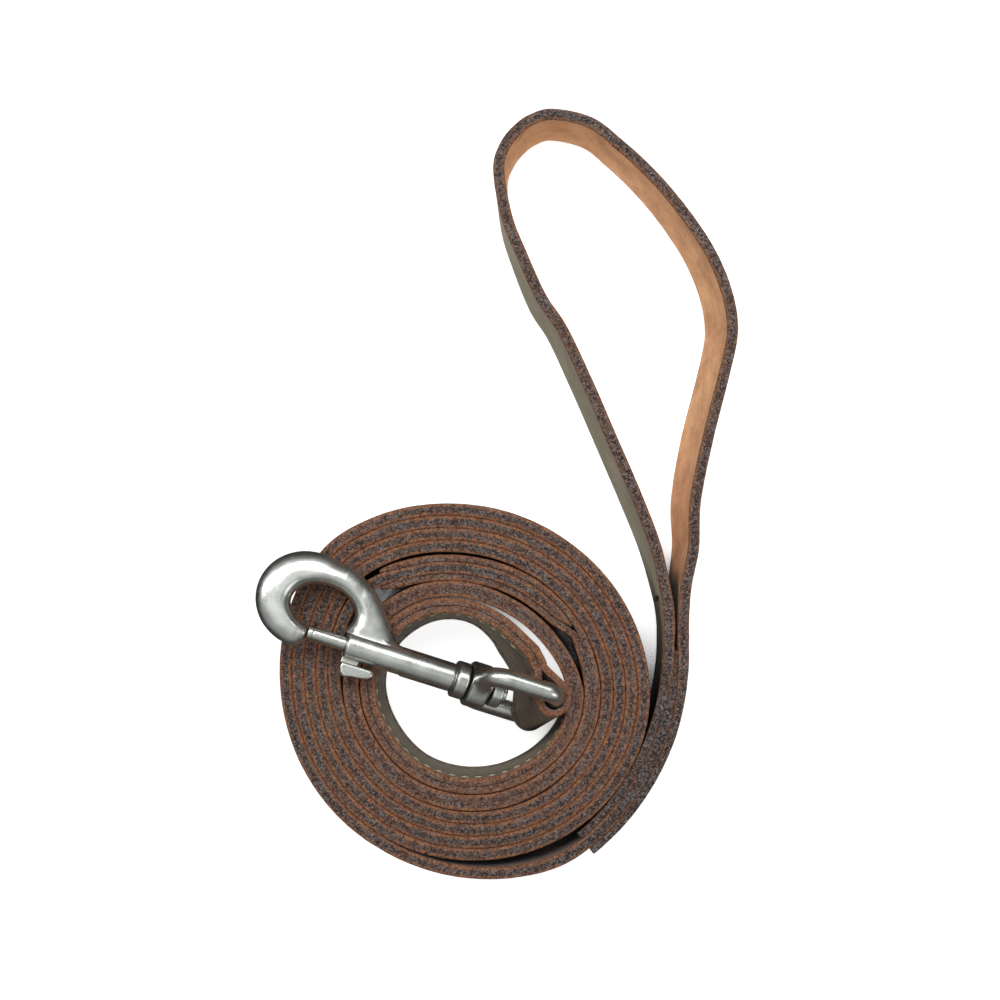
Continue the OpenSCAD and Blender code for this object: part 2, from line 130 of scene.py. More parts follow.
def make_world():
    """A room that is bright overhead and dim towards the horizon, so that metal has something to reflect."""
    world = bpy.data.worlds.new("room")
    world.use_nodes = True
    bpy.context.scene.world = world
    nodes, links = world.node_tree.nodes, world.node_tree.links
    place = nodes.new("ShaderNodeTexCoord")
    split = nodes.new("ShaderNodeSeparateXYZ")
    ramp = nodes.new("ShaderNodeValToRGB")
    links.new(place.outputs["Generated"], split.inputs[0])
    links.new(split.outputs["Z"], ramp.inputs["Fac"])
    links.new(ramp.outputs["Color"], nodes["Background"].inputs["Color"])
    stops = ramp.color_ramp.elements
    stops[0].position, stops[0].color = 0.0, (0.05, 0.05, 0.05, 1)
    stops[1].position, stops[1].color = 1.0, (1.15, 1.19, 1.17, 1)
    for at, level in ((0.3, 0.12), (0.6, 0.38), (0.85, 0.42), (0.95, 0.85)):
        stops.new(at).color = (level * 0.98, level, level * 0.99, 1)
    nodes["Background"].inputs["Strength"].default_value = 0.9


# ---- Materials ----

def srgb(red, green, blue):
    """A colour from its 0 to 255 display values, as the linear one that shaders take."""
    def linear(value):
        value /= 255
        return value / 12.92 if value <= 0.04045 else ((value + 0.055) / 1.055) ** 2.4
    return (linear(red), linear(green), linear(blue), 1.0)


class Look:
    """A material and short ways to add nodes to it. Lengths are in millimetres."""

    def __init__(self, name):
        self.material = bpy.data.materials.new(name)
        self.material.use_nodes = True
        self.nodes = self.material.node_tree.nodes
        self.links = self.material.node_tree.links
        self.shader = self.nodes["Principled BSDF"]

    def put(self, socket, value):
        if isinstance(value, bpy.types.NodeSocket):
            self.links.new(value, socket)
        else:
            socket.default_value = value

    def maths(self, operation, *values, clamp=False):
        node = self.nodes.new("ShaderNodeMath")
        node.operation = operation
        node.use_clamp = clamp
        for socket, value in zip(node.inputs, values):
            self.put(socket, value)
        return node.outputs[0]

    def attribute(self, name):
        node = self.nodes.new("ShaderNodeAttribute")
        node.attribute_name = name
        return node

    def strap_place(self):
        """Sockets for the place across the thickness, the height and the distance along."""
        split = self.nodes.new("ShaderNodeSeparateXYZ")
        self.links.new(self.attribute("strap").outputs["Vector"], split.inputs[0])
        return split.outputs

    def place(self, stretch=(1, 1, 1), attribute=None):
        """The point in millimetres, or another vector attribute, with its axes scaled."""
        node = self.nodes.new("ShaderNodeVectorMath")
        node.operation = "MULTIPLY"
        if attribute:
            self.links.new(self.attribute(attribute).outputs["Vector"], node.inputs[0])
            node.inputs[1].default_value = stretch
        else:
            source = self.nodes.new("ShaderNodeTexCoord")
            self.links.new(source.outputs["Object"], node.inputs[0])
            node.inputs[1].default_value = [x / MM for x in stretch]
        return node.outputs[0]

    def noise(self, size, detail=3, rough=0.6, place=None):
        """Smooth noise from 0 to 1 whose lumps are about size across."""
        node = self.nodes.new("ShaderNodeTexNoise")
        node.inputs["Scale"].default_value = 1 / size
        node.inputs["Detail"].default_value = detail
        node.inputs["Roughness"].default_value = rough
        self.links.new(place or self.place(), node.inputs["Vector"])
        return node.outputs["Fac"]

    def cells(self, size, output="Distance"):
        """Scattered points about size apart: the distance to the nearest one, or its random colour."""
        node = self.nodes.new("ShaderNodeTexVoronoi")
        node.inputs["Scale"].default_value = 1 / size
        self.links.new(self.place(), node.inputs["Vector"])
        return node.outputs[output]

    def grit(self, size):
        """A random value from 0 to 1 for each grain about size across."""
        split = self.nodes.new("ShaderNodeSeparateColor")
        self.links.new(self.cells(size, "Color"), split.inputs[0])
        return split.outputs[0]

    def rise(self, value, low, high):
        """0 below low, 1 above high and smooth in between; low may be the greater one."""
        node = self.nodes.new("ShaderNodeMapRange")
        node.interpolation_type = "SMOOTHSTEP"
        self.put(node.inputs["Value"], value)
        self.put(node.inputs["From Min"], low)
        self.put(node.inputs["From Max"], high)
        return node.outputs["Result"]

    def mix(self, share, first, second):
        node = self.nodes.new("ShaderNodeMix")
        node.data_type = "RGBA"
        self.put(node.inputs["Factor"], share)
        self.put(node.inputs["A"], first)
        self.put(node.inputs["B"], second)
        return node.outputs["Result"]

    def ramp(self, value, *stops):
        """Colour by value: stops are (value, colour)."""
        node = self.nodes.new("ShaderNodeValToRGB")
        self.put(node.inputs["Fac"], value)
        elements = node.color_ramp.elements
        while len(elements) < len(stops):
            elements.new(1.0)
        for element, (at, colour) in zip(elements, stops):
            element.position = at
            element.color = colour
        return node.outputs["Color"]

    def open_share(self, reach, low, high):
        """0 in crevices and 1 in the open, by how much of the surroundings within reach are free."""
        node = self.nodes.new("ShaderNodeAmbientOcclusion")
        node.inputs["Distance"].default_value = reach * MM
        return self.rise(node.outputs["AO"], low, high)

    def bump(self, height, depth, below=None):
        """Bumps depth millimetres high where height goes from 0 to 1."""
        node = self.nodes.new("ShaderNodeBump")
        node.inputs["Distance"].default_value = depth * MM
        self.put(node.inputs["Height"], height)
        if below is not None:
            self.links.new(below, node.inputs["Normal"])
        return node.outputs["Normal"]

    def finish(self, colour, roughness, metal=0.0, normal=None, sheen=0.0, shine=0.5, glow=None,
               sheen_tint=None):
        values = {"Base Color": colour, "Roughness": roughness, "Metallic": metal, "Sheen Weight": sheen,
                  "Sheen Tint": sheen_tint, "Specular IOR Level": shine, "Emission Strength": glow,
                  "Normal": normal}
        for key, value in values.items():
            if value is not None:
                self.put(self.shader.inputs[key], value)


# Shades are from the darkest to the lightest.
RUST = (srgb(82, 50, 34), srgb(142, 92, 62), srgb(182, 130, 92))
DARK_CORE = (srgb(40, 30, 28), srgb(92, 73, 66), srgb(98, 89, 87))
WARM_CORE = (srgb(50, 34, 29), srgb(110, 80, 69), srgb(112, 97, 91))
GRAIN = (srgb(46, 34, 28), srgb(70, 54, 44), srgb(98, 80, 66))
# The handle is the same dark leather as the rest; these shades are lighter as a painted reflection of the
# pale grazing light its edge-on face shows from above.
LIT_HANDLE_GRAIN = (srgb(66, 52, 42), srgb(92, 76, 62), srgb(118, 100, 84))
FLESH = (srgb(160, 112, 72), srgb(206, 154, 106), srgb(228, 184, 136))
BROWN_FLESH = (srgb(96, 64, 46), srgb(132, 92, 66), srgb(158, 118, 90))
PALE_FLECK = srgb(148, 138, 132)


def rust_colour(look):
    grain = look.noise(0.55, detail=4)
    return look.ramp(grain, (0.3, RUST[0]), (0.5, RUST[1]), (0.72, RUST[2]))


def cut_edge(name, rims, core, fleck):
    """The strap's cut edge: a dark dyed core with flecks, and rims where the dye is rubbed off the arrises.
    rims is how strong the rim is on the grain and the flesh side, fleck how strong the pale flecks are."""
    look = Look(name)
    across = look.strap_place()[0]
    half = look.attribute("half").outputs["Fac"]
    wear = look.attribute("wear").outputs["Fac"]
    ragged = look.noise(1.1, detail=4, rough=0.7)
    patches = look.noise(9, detail=2)
    width = look.maths("MULTIPLY_ADD", ragged, 2.0, -0.2)
    width = look.maths("MULTIPLY_ADD", patches, 0.4, width)
    width = look.maths("MULTIPLY_ADD", wear, 0.6, width)
    grain_side = look.maths("SUBTRACT", half, across)
    flesh_side = look.maths("ADD", half, across)
    rubbed = [look.maths("MULTIPLY", look.rise(side, width, look.maths("SUBTRACT", width, 0.6)), strength)
              for side, strength in zip((grain_side, flesh_side), rims)]
    rubbed = look.maths("MULTIPLY", look.maths("MAXIMUM", *rubbed), look.rise(look.noise(0.8), 0.34, 0.52))
    speckle = look.maths("MULTIPLY", look.noise(0.9, detail=4, rough=0.75), 0.62)
    speckle = look.maths("MULTIPLY_ADD", look.grit(0.34), 0.38, speckle)
    tint = look.mix(look.rise(look.noise(5, detail=3), 0.42, 0.6), core[1], core[2])
    dark = look.mix(look.rise(speckle, 0.38, 0.56), core[0], tint)
    dark = look.mix(look.maths("MULTIPLY", look.rise(speckle, 0.58, 0.72), fleck), dark, PALE_FLECK)
    worn = look.maths("MULTIPLY", wear, look.rise(look.noise(1.3, detail=4), 0.36, 0.62))
    share = look.maths("MAXIMUM", rubbed, worn, clamp=True)
    fibres = look.noise(0.3, detail=4, rough=0.7)
    normal = look.bump(fibres, 0.16, look.bump(look.noise(1.6), 0.25))
    look.finish(look.mix(share, dark, rust_colour(look)), look.maths("MULTIPLY_ADD", speckle, -0.35, 0.85),
                normal=normal, shine=0.35)
    return look.material


def arris_share(look, reach=0.9):
    """1 on the strap's broad face next to its edges, 0 further in."""
    height = look.strap_place()[1]
    from_edge = look.maths("MINIMUM", height, look.maths("SUBTRACT", STRAP_W, height))
    ragged = look.maths("MULTIPLY_ADD", look.noise(1.2, detail=4), 0.9, reach - 0.45)
    return look.rise(from_edge, ragged, 0.35)


def grain_face(name, colours, bloom):
    """The smooth, waxed side: a fine pebble, patchy shades, rubbed arrises, and painted shade in narrow gaps.
    """
    look = Look(name)
    shade = look.noise(14, detail=4, rough=0.6)
    fine = look.noise(0.8, detail=3)
    colour = look.ramp(look.maths("MULTIPLY_ADD", fine, 0.3, look.maths("MULTIPLY", shade, 0.7)),
                       (0.32, colours[0]), (0.5, colours[1]), (0.66, colours[2]))
    colour = look.mix(look.maths("MULTIPLY", arris_share(look), 0.85), colour, rust_colour(look))
    # Painted shade: where the face is walled in, as between the laps, its colour goes near black.
    colour = look.mix(look.open_share(7, 0.1, 0.45), srgb(20, 15, 13), colour)
    pebble = look.bump(look.cells(0.65), 0.06, look.bump(look.noise(3.5), 0.22))
    # The wax gives it a pale bloom at grazing angles. The bloom fades out where the face is walled in, as
    # painted shade.
    sheen = look.maths("MULTIPLY", look.open_share(14, 0.25, 0.6), bloom)
    look.finish(colour, look.maths("MULTIPLY_ADD", fine, 0.3, 0.36), normal=pebble, sheen=sheen,
                sheen_tint=srgb(206, 198, 170))
    return look.material


def flesh_face(name, colours):
    """The rough suede side: fibres that run along the strap, in a patchy tan, with painted shade in narrow
    gaps.
    """
    look = Look(name)
    along = look.place((1.6, 1.6, 0.35), "strap")
    fibres = look.noise(0.5, detail=5, rough=0.7, place=along)
    patches = look.noise(8, detail=3)
    colour = look.ramp(look.maths("MULTIPLY_ADD", fibres, 0.55, look.maths("MULTIPLY", patches, 0.45)),
                       (0.33, colours[0]), (0.5, colours[1]), (0.64, colours[2]))
    colour = look.mix(look.maths("MULTIPLY", arris_share(look, 0.6), 0.5), colour, RUST[1])
    # Painted shade: where the face is walled in, its colour goes near black.
    colour = look.mix(look.open_share(7, 0.1, 0.45), srgb(28, 19, 14), colour)
    look.finish(colour, 0.95, normal=look.bump(fibres, 0.2), sheen=0.15, shine=0.2)
    return look.material


def thread_look(name, light, dark):
    """Waxed thread, mottled between a light and a dark shade."""
    look = Look(name)
    strands = look.noise(0.9, detail=4, place=look.place((4, 4, 4)))
    colour = look.ramp(strands, (0.35, dark), (0.62, light))
    look.finish(colour, 0.6, normal=look.bump(strands, 0.06), shine=0.35)
    return look.material


def nickel_look():
    """Plated and hand-worn: satin, with soft smears, pits and dull seams."""
    look = Look("nickel_plate")
    smear = look.noise(6, detail=5, rough=0.65)
    pits = look.noise(0.5, detail=3)
    open_share = look.open_share(1.6, 0.25, 0.85)
    bright = look.ramp(smear, (0.35, srgb(205, 207, 200)), (0.6, srgb(226, 228, 224)))
    colour = look.mix(open_share, srgb(120, 112, 92), bright)
    rough = look.maths("MULTIPLY_ADD", smear, 0.3, 0.14)
    rough = look.maths("MULTIPLY_ADD", look.maths("SUBTRACT", 1.0, open_share), 0.25, rough)
    normal = look.bump(pits, 0.006, look.bump(look.noise(3), 0.06))
    look.finish(colour, rough, metal=1.0, normal=normal)
    return look.material


def steel_look():
    look = Look("spring_wire")
    drawn = look.noise(0.4, detail=2)
    look.finish(look.ramp(drawn, (0.4, srgb(120, 120, 124)), (0.6, srgb(160, 160, 165))), 0.35, metal=1.0)
    return look.material


# ---- Building meshes ----

def new_piece(name, points, faces, materials, body, slot, nodes, face_materials=None, values=None):
    """A piece from points in millimetres, with its materials, its body and the CAD nodes that it stands for.
    values are its points' own numbers by name, which the materials read. A piece that is to be blended
    between two bodies has none of its own."""
    mesh = bpy.data.meshes.new(name)
    mesh.from_pydata((np.asarray(points, float) * MM).tolist(), [], faces)
    for material in materials:
        mesh.materials.append(material)
    if face_materials is not None:
        mesh.polygons.foreach_set("material_index", np.asarray(face_materials, np.int32))
    for key, numbers in (values or {}).items():
        numbers = np.asarray(numbers, np.float32)
        vector = numbers.ndim == 2
        layer = mesh.attributes.new(key, "FLOAT_VECTOR" if vector else "FLOAT", "POINT")
        layer.data.foreach_set("vector" if vector else "value", numbers.ravel())
    mesh.polygons.foreach_set("use_smooth", np.ones(len(mesh.polygons), bool))
    mesh.validate()
    piece = bpy.data.objects.new(name, mesh)
    bpy.context.scene.collection.objects.link(piece)
    if body:
        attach(piece, body)
    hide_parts(*nodes)
    return piece


# ---- Routes of the straps, as in the CAD model ----

STRAP_W = 19.0
MAIN_T = 3.1
PLY_T = 2.05
LOOP_T = 2.9
TAIL_T = 2.05
TAIL_END_T = 1.8
SPLICE_T = 1.7
LAY = 0.04
COIL_CENTRE = np.array([-8.2, -50.8])


def left_of(v):
    return np.array([-v[1], v[0]])


def curve4(p0, p1, p2, p3, t):
    """Smooth curve through p0..p3, between p1 and p2."""
    return 0.5 * (2 * p1 + (p2 - p0) * t + (2 * p0 - 5 * p1 + 4 * p2 - p3) * t * t
                  + (3 * p1 - p0 - 3 * p2 + p3) * t ** 3)


def look_up(table, x):
    """Value at x of a table [(x, value), ...] with rising x, as a smooth curve."""
    last = len(table) - 1
    i = 0
    while i + 1 < last and table[i + 1][0] <= x:
        i += 1

    def slope(a, b):
        return (table[b][1] - table[a][1]) / (table[b][0] - table[a][0])
    width = table[i + 1][0] - table[i][0]
    t = min(1, max(0, (x - table[i][0]) / width))
    start, end = slope(max(i - 1, 0), i + 1), slope(i, min(i + 2, last))
    return ((2 * t ** 3 - 3 * t * t + 1) * table[i][1] + (t ** 3 - 2 * t * t + t) * width * start
            + (3 * t * t - 2 * t ** 3) * table[i + 1][1] + (t ** 3 - t * t) * width * end)


def polar(angle, r):
    """Point at an angle and distance from the coil's centre. Angles run clockwise, as the coil winds in."""
    a = math.radians(angle)
    return np.array([r * math.cos(a), -r * math.sin(a)])


MAIN_PITCH = MAIN_T + LAY
LAP_PITCH = 2 * PLY_T + 5 * LAY
MAIN_ROUND = [(0, 48.6), (15, 48.6), (30, 48.0), (45, 47.4), (60, 46.7), (75, 46.1), (90, 45.7),
              (120, 45.6), (150, 46.1), (180, 47.9), (225, 52.5), (240, 51.6), (270, 48.9),
              (300, 47.7), (330, 47.8), (360, 48.6)]
MAIN_START = [(-12, 54.9), (0, 52.8), (15, 50.9), (30, 49.8), (45, 49.4), (60, 49.4), (75, 47.8),
              (90, 46.3), (105, 45.2), (120, 44.55)]
MAIN_END = [(1640, 35.7), (1655, 37.0), (1665, 37.2), (1674, 36.0), (1680, 34.7), (1690, 33.4),
            (1710, 31.55), (1725, 30.8), (1748, 30.47), (1760, 30.77), (1764, 31.17), (1768, 31.7)]
MAIN_FROM, MAIN_TO = -12, 1768
# Both ends are pared thin: (angle, thickness).
START_THIN = [(MAIN_FROM, 0.7), (12, MAIN_T)]
END_THIN = [(1748, MAIN_T), (1760, 2.5), (1764, 1.7), (MAIN_TO, 0.6)]


def main_r(angle):
    if angle < 120:
        return look_up(MAIN_START, angle)
    if angle > 1640:
        return look_up(MAIN_END, angle)
    return look_up(MAIN_ROUND, angle % 360) - MAIN_PITCH * angle / 360


def straight_up(table, x):
    """Value at x of a table, by straight lines."""
    return float(np.interp(x, *zip(*table)))


def main_thick(angle):
    return straight_up(START_THIN if angle < 12 else END_THIN, angle)


LAP_ROUND = [(0, 32.25), (15, 32.3), (30, 31.8), (45, 31.0), (60, 30.3), (90, 29.6), (120, 29.7),
             (150, 30.3), (180, 31.9), (200, 32.5), (215, 32.4), (240, 31.4), (270, 29.3),
             (285, 28.4), (300, 28.1), (315, 28.4), (330, 29.2), (345, 30.6), (360, 32.25)]
LAP_LAST = [(640, 0), (660, -0.5), (675, -1.0), (690, -0.9)]
LAP_LEAN = [(480, 0), (540, 1.4), (585, 3), (630, 3.4), (660, 4.8), (690, 7)]
LAP_LIFT = [(580, 0), (630, 0.7), (660, 1.5), (690, 2.4)]
LAP_THIN = [(380, PLY_T), (440, PLY_T - 0.1)]
LAP_TO = 688
# The laps' angles start from 0 where the main strap's have reached this.
LAP_START = 1800


def lap_r(angle):
    """Radius of the doubled strap's middle, on its own two turns."""
    last = look_up(LAP_LAST, angle) if angle > 640 else 0
    return look_up(LAP_ROUND, angle % 360) - LAP_PITCH * angle / 360 + last


def lap_lean(angle):
    amount = look_up(LAP_LEAN, angle) if angle > 480 else 0
    heading = math.radians(max(-132, 540 - angle))
    return amount * np.array([math.cos(heading), math.sin(heading)])


def lap_lift(angle):
    return look_up(LAP_LIFT, angle) if angle > 580 else 0


# The hand loop: (x, y, lean x, lean y) up the right leg, over the top and down the left leg.
LOOP = [(55.6, 13.8, 0, 0), (55.6, 19, -0.3, 0), (56.3, 27.5, -1.2, 0), (58.2, 37, -2.2, 0),
        (58.7, 49, -3, 0), (61.8, 64.5, -3.6, 0), (65.7, 80, -3.6, 0), (67.8, 89, -3.6, 0),
        (68.2, 95, -3.4, -0.2), (66.8, 102.5, -3, -0.4), (63.7, 110.5, -2.6, -0.6),
        (59.2, 118.2, -2, -0.9), (52.2, 127.5, -1.5, -1), (45.2, 135, -1.1, -1),
        (38.5, 141, -0.7, -1.1), (31.5, 146.2, -0.2, -1.2), (22, 148.3, 0.2, -1.2),
        (16.4, 146.8, 0.7, -1.2), (12.8, 144.2, 1.1, -1.1), (9.7, 140.2, 1.3, -0.8),
        (8.1, 134, 1, -0.6), (10.2, 122, 0, -0.4), (13.8, 112.8, -0.8, -0.5),
        (19.1, 101.2, -1.4, -0.6), (24.4, 93.2, -1.7, -0.6), (30.7, 80, -1.9, -0.6),
        (37.4, 64.6, -1.9, -0.6), (44, 49.2, -1.9, -0.6), (48.6, 36.8, -1.6, -0.4),
        (51.3, 24.4, -0.8, 0), (52, 18, -0.3, 0), (51.9, 13.8, 0, 0)]
TAIL_TO = 52
TAIL_THIN = [(MAIN_FROM, LOOP_T), (12, TAIL_T), (TAIL_TO, TAIL_END_T)]


def station(middle, lean, foot, thick):
    """One station of a strap: x and y of the middle of its upper edge, how far the lower edge stands from
    under it, the lower edge's height, and the thickness."""
    return np.array([middle[0], middle[1], lean[0], lean[1], foot, thick])


UPRIGHT = (0.0, 0.0)
# The CAD model's straps have a station at every one of these angles.
STEP = 4


def angles_between(start, end, step):
    """Evenly spaced from start to end, about step apart."""
    return np.linspace(start, end, max(2, round(abs(end - start) / step) + 1))


def main_route():
    return [station(polar(a, main_r(a)), UPRIGHT, 0, main_thick(a))
            for a in angles_between(MAIN_FROM + 1, MAIN_TO, 1.2)]


def handle_route():
    def tail(angle, outward):
        thick = straight_up(TAIL_THIN, angle)
        off_middle = main_thick(angle) / 2 + 1.5 * LAY + thick / 2
        return station(polar(angle, main_r(angle) + outward * off_middle), UPRIGHT, 0, thick)
    angles = angles_between(TAIL_TO, MAIN_FROM, 1)
    rows = [np.array(row, float) for row in LOOP]
    last = len(rows) - 1
    loop = []
    for i in range(last):
        steps = max(3, round(float(np.hypot(*(rows[i + 1] - rows[i])[:2])) / 0.9))
        for k in range(steps):
            p = curve4(rows[max(0, i - 1)], rows[i], rows[i + 1], rows[min(last, i + 2)], k / steps)
            loop.append(station(p[:2], p[2:], 0, LOOP_T))
    loop.append(station(rows[last][:2], rows[last][2:], 0, LOOP_T))
    return [tail(a, 1) for a in angles] + loop + [tail(a, -1) for a in angles[::-1]]


# The snap's place: the point that lengths along it are measured from, the barrel's direction, and the rolls
# about the barrel.
SNAP_AT = np.array([19.1, -4.2, 13.4])
SNAP_HEADING, SNAP_CLIMB, EYE_ROLL, HOOK_ROLL = 161, 12.6, 24.5, 9
EYE_BAR_R = 2.5
FAR_X = -0.1


def on_snap(roll):
    """Turns points drawn along +X, from the eye's far bar towards the hook, into place."""
    turn = [Matrix.Rotation(math.radians(a), 4, axis)
            for a, axis in ((SNAP_HEADING, "Z"), (-SNAP_CLIMB, "Y"), (roll, "X"))]
    place = Matrix.Translation((COIL_CENTRE[0] + SNAP_AT[0], COIL_CENTRE[1] + SNAP_AT[1], SNAP_AT[2]))
    return np.array(place @ turn[0] @ turn[1] @ turn[2])


BAR_UP = on_snap(EYE_ROLL)[:3, 2]
FOLD_LEAN = -STRAP_W * BAR_UP[:2]
FAR_AT = SNAP_AT + FAR_X * on_snap(0)[:3, 0]
FOLD_LIFT = FAR_AT[2] - STRAP_W * BAR_UP[2] / 2
# The fold lies a little beyond the bar that pulls on it, and its leather is pressed thinner there.
FOLD_SLACK = np.array([0.08, -0.18])
FOLD_AT = FAR_AT[:2] - FOLD_LEAN / 2 + FOLD_SLACK
FOLD_T = PLY_T - 0.2
FOLD_R = EYE_BAR_R + 0.12 + FOLD_T / 2
FOLD_HEADING = -66
FOLD_WAY = np.array([math.cos(math.radians(FOLD_HEADING)), math.sin(math.radians(FOLD_HEADING))])
# Up to the eye the plies lie together, measured back from the middle of the fold.
APPROACH = (9.5, 7.7)
OUTER_TAIL_FROM, INNER_TAIL_FROM = 1674, 1670
# The doubled strap's own ends are pared to TIP_T over the first TIP_L degrees.
TIP_T, TIP_L = 0.9, 6
INNER_SLACK = [(1752, 0), (1764, 0.2), (MAIN_TO, 0.3)]


def hook_route():
    """The doubled strap: along its outer ply, round the eye's bar and back along its inner ply."""
    def lap(angle, side):
        return station(polar(angle, lap_r(angle) + side * (PLY_T + LAY) / 2), lap_lean(angle),
                       lap_lift(angle), straight_up(LAP_THIN, angle))

    def clasp(angle, side, thick):
        slack = 0 if side > 0 else straight_up(INNER_SLACK, angle)
        return main_r(angle) + side * (main_thick(angle) / 2 + 2.5 * LAY + thick / 2) - slack

    def splice(angle, side):
        start = OUTER_TAIL_FROM if side > 0 else INNER_TAIL_FROM
        thick = straight_up([(start, TIP_T), (start + TIP_L, SPLICE_T), (MAIN_TO, SPLICE_T),
                             (MAIN_TO + 12, PLY_T)], angle)
        # Past the main strap's end both plies ease over to the laps.
        joined = [(MAIN_TO, clasp(MAIN_TO, 1, SPLICE_T)), (1775, 32.95), (1785, 32.95),
                  (LAP_START, lap_r(0) + (PLY_T + LAY) / 2)]
        r = clasp(angle, side, thick)
        if angle > MAIN_TO:
            r = look_up(joined, angle) - (0 if side > 0 else thick + LAY)
            if side < 0 and angle < MAIN_TO + STEP:
                # Within one CAD step of the pared end the inner ply swings across to the outer one.
                share = (angle - MAIN_TO) / STEP
                r = r * share + clasp(MAIN_TO, side, SPLICE_T) * (1 - share)
        return station(polar(angle, r), UPRIGHT, 0, thick)

    def fold_height(p):
        return FOLD_LIFT - float((p - FOLD_AT) @ BAR_UP[:2]) / BAR_UP[2]

    def fold(p):
        return station(p, FOLD_LEAN, fold_height(p), FOLD_T)

    def approach(back, side):
        p = FOLD_AT - back * FOLD_WAY + side * (PLY_T + 3 * LAY) / 2 * left_of(FOLD_WAY)
        share = 1 - back / float(np.linalg.norm(FOLD_AT - polar(LAP_TO, lap_r(LAP_TO))))
        return station(p, (1 - share) * lap_lean(LAP_TO) + share * FOLD_LEAN,
                       (1 - share) * lap_lift(LAP_TO) + share * fold_height(p), straight_up(LAP_THIN, LAP_TO))

    def fold_point(turn):
        return FOLD_AT + FOLD_R * np.array([math.cos(math.radians(FOLD_HEADING + turn)),
                                            math.sin(math.radians(FOLD_HEADING + turn))])

    def between(before, a, b, after):
        return [curve4(before, a, b, after, t) for t in np.linspace(0, 1, 12)[1:-1]]
    straight = 1.6 * FOLD_WAY
    fine = STEP / 3
    laps = list(np.append(np.arange(0, LAP_TO, fine), LAP_TO))
    outer = ([splice(a, 1) for a in np.arange(OUTER_TAIL_FROM, LAP_START - 0.5, fine)]
             + [lap(a, 1) for a in laps])
    inner = ([lap(a, -1) for a in reversed(laps)]
             + [splice(a, -1) for a in angles_between(LAP_START - fine, INNER_TAIL_FROM, fine)])
    bend = [fold(fold_point(90) - straight)] + [fold(fold_point(a)) for a in np.linspace(90, -90, 31)]
    bend.append(fold(fold_point(-90) - straight))
    # The plies' stations on the approach, and smooth ways from the laps to them and from them to the fold.
    near = [[approach(back, side) for back in APPROACH] for side in (1, -1)]
    way_in = [lap(LAP_TO - STEP, 1), outer[-1]] + near[0] + bend[:2]
    way_out = bend[-2:] + near[1][::-1] + [inner[0], lap(LAP_TO - STEP, -1)]

    def smooth(way):
        stations = []
        for i in range(1, len(way) - 2):
            stations += between(*way[i - 1:i + 3]) + [way[i + 1]]
        return stations[:-1]
    return outer + smooth(way_in) + bend + smooth(way_out) + inner


# ---- Straps ----

STITCH_PITCH = 3.7
SEAM_INSET = 3.2


def ripple(along, *waves):
    """A gentle unevenness: a sum of sines with these wavelengths, from -1 to 1."""
    return sum(np.sin(2 * math.pi * along / wave + 1.7 * i) for i, wave in enumerate(waves)) / len(waves)


def profile(radii, crown, seamed):
    """A strap's section of height STRAP_W, as (side, offset across, height, part): the point lies at
    side * half the thickness + offset across. Parts are 0 edge, 1 left face, 2 right face. radii are the left
    and the right corners', and crown is how far the edge bulges. A seamed strap has rows at its stitches."""
    heights = [1.5, 2.5, SEAM_INSET, 3.9, 5.4] if seamed else [2.0, 5.0]
    face = heights + [STRAP_W / 2] + [STRAP_W - h for h in reversed(heights)]
    rows = []

    def corner(side, top, start, end):
        r = radii[0] if side > 0 else radii[1]
        for k in range(5):
            a = math.radians(start + (end - start) * k / 4)
            height = STRAP_W - r + r * math.sin(a) if top else r - r * math.sin(a)
            rows.append((side, r * math.cos(a) - r, height, 0))

    def edge(top, sides):
        for share in sides:
            rise = crown * (1 - share * share)
            rows.append((share, 0, STRAP_W + rise if top else 0, 0))
    # Round the section: up the left face, over the upper edge to the right, down, and back below.
    corner(1, False, 90, 0)
    rows.extend((1, 0, h, 1) for h in face)
    corner(1, True, 0, 90)
    edge(True, (0.5, 0, -0.5))
    corner(-1, True, 90, 0)
    rows.extend((-1, 0, h, 2) for h in reversed(face))
    corner(-1, False, 0, 90)
    edge(False, (-0.5, 0, 0.5))
    return rows


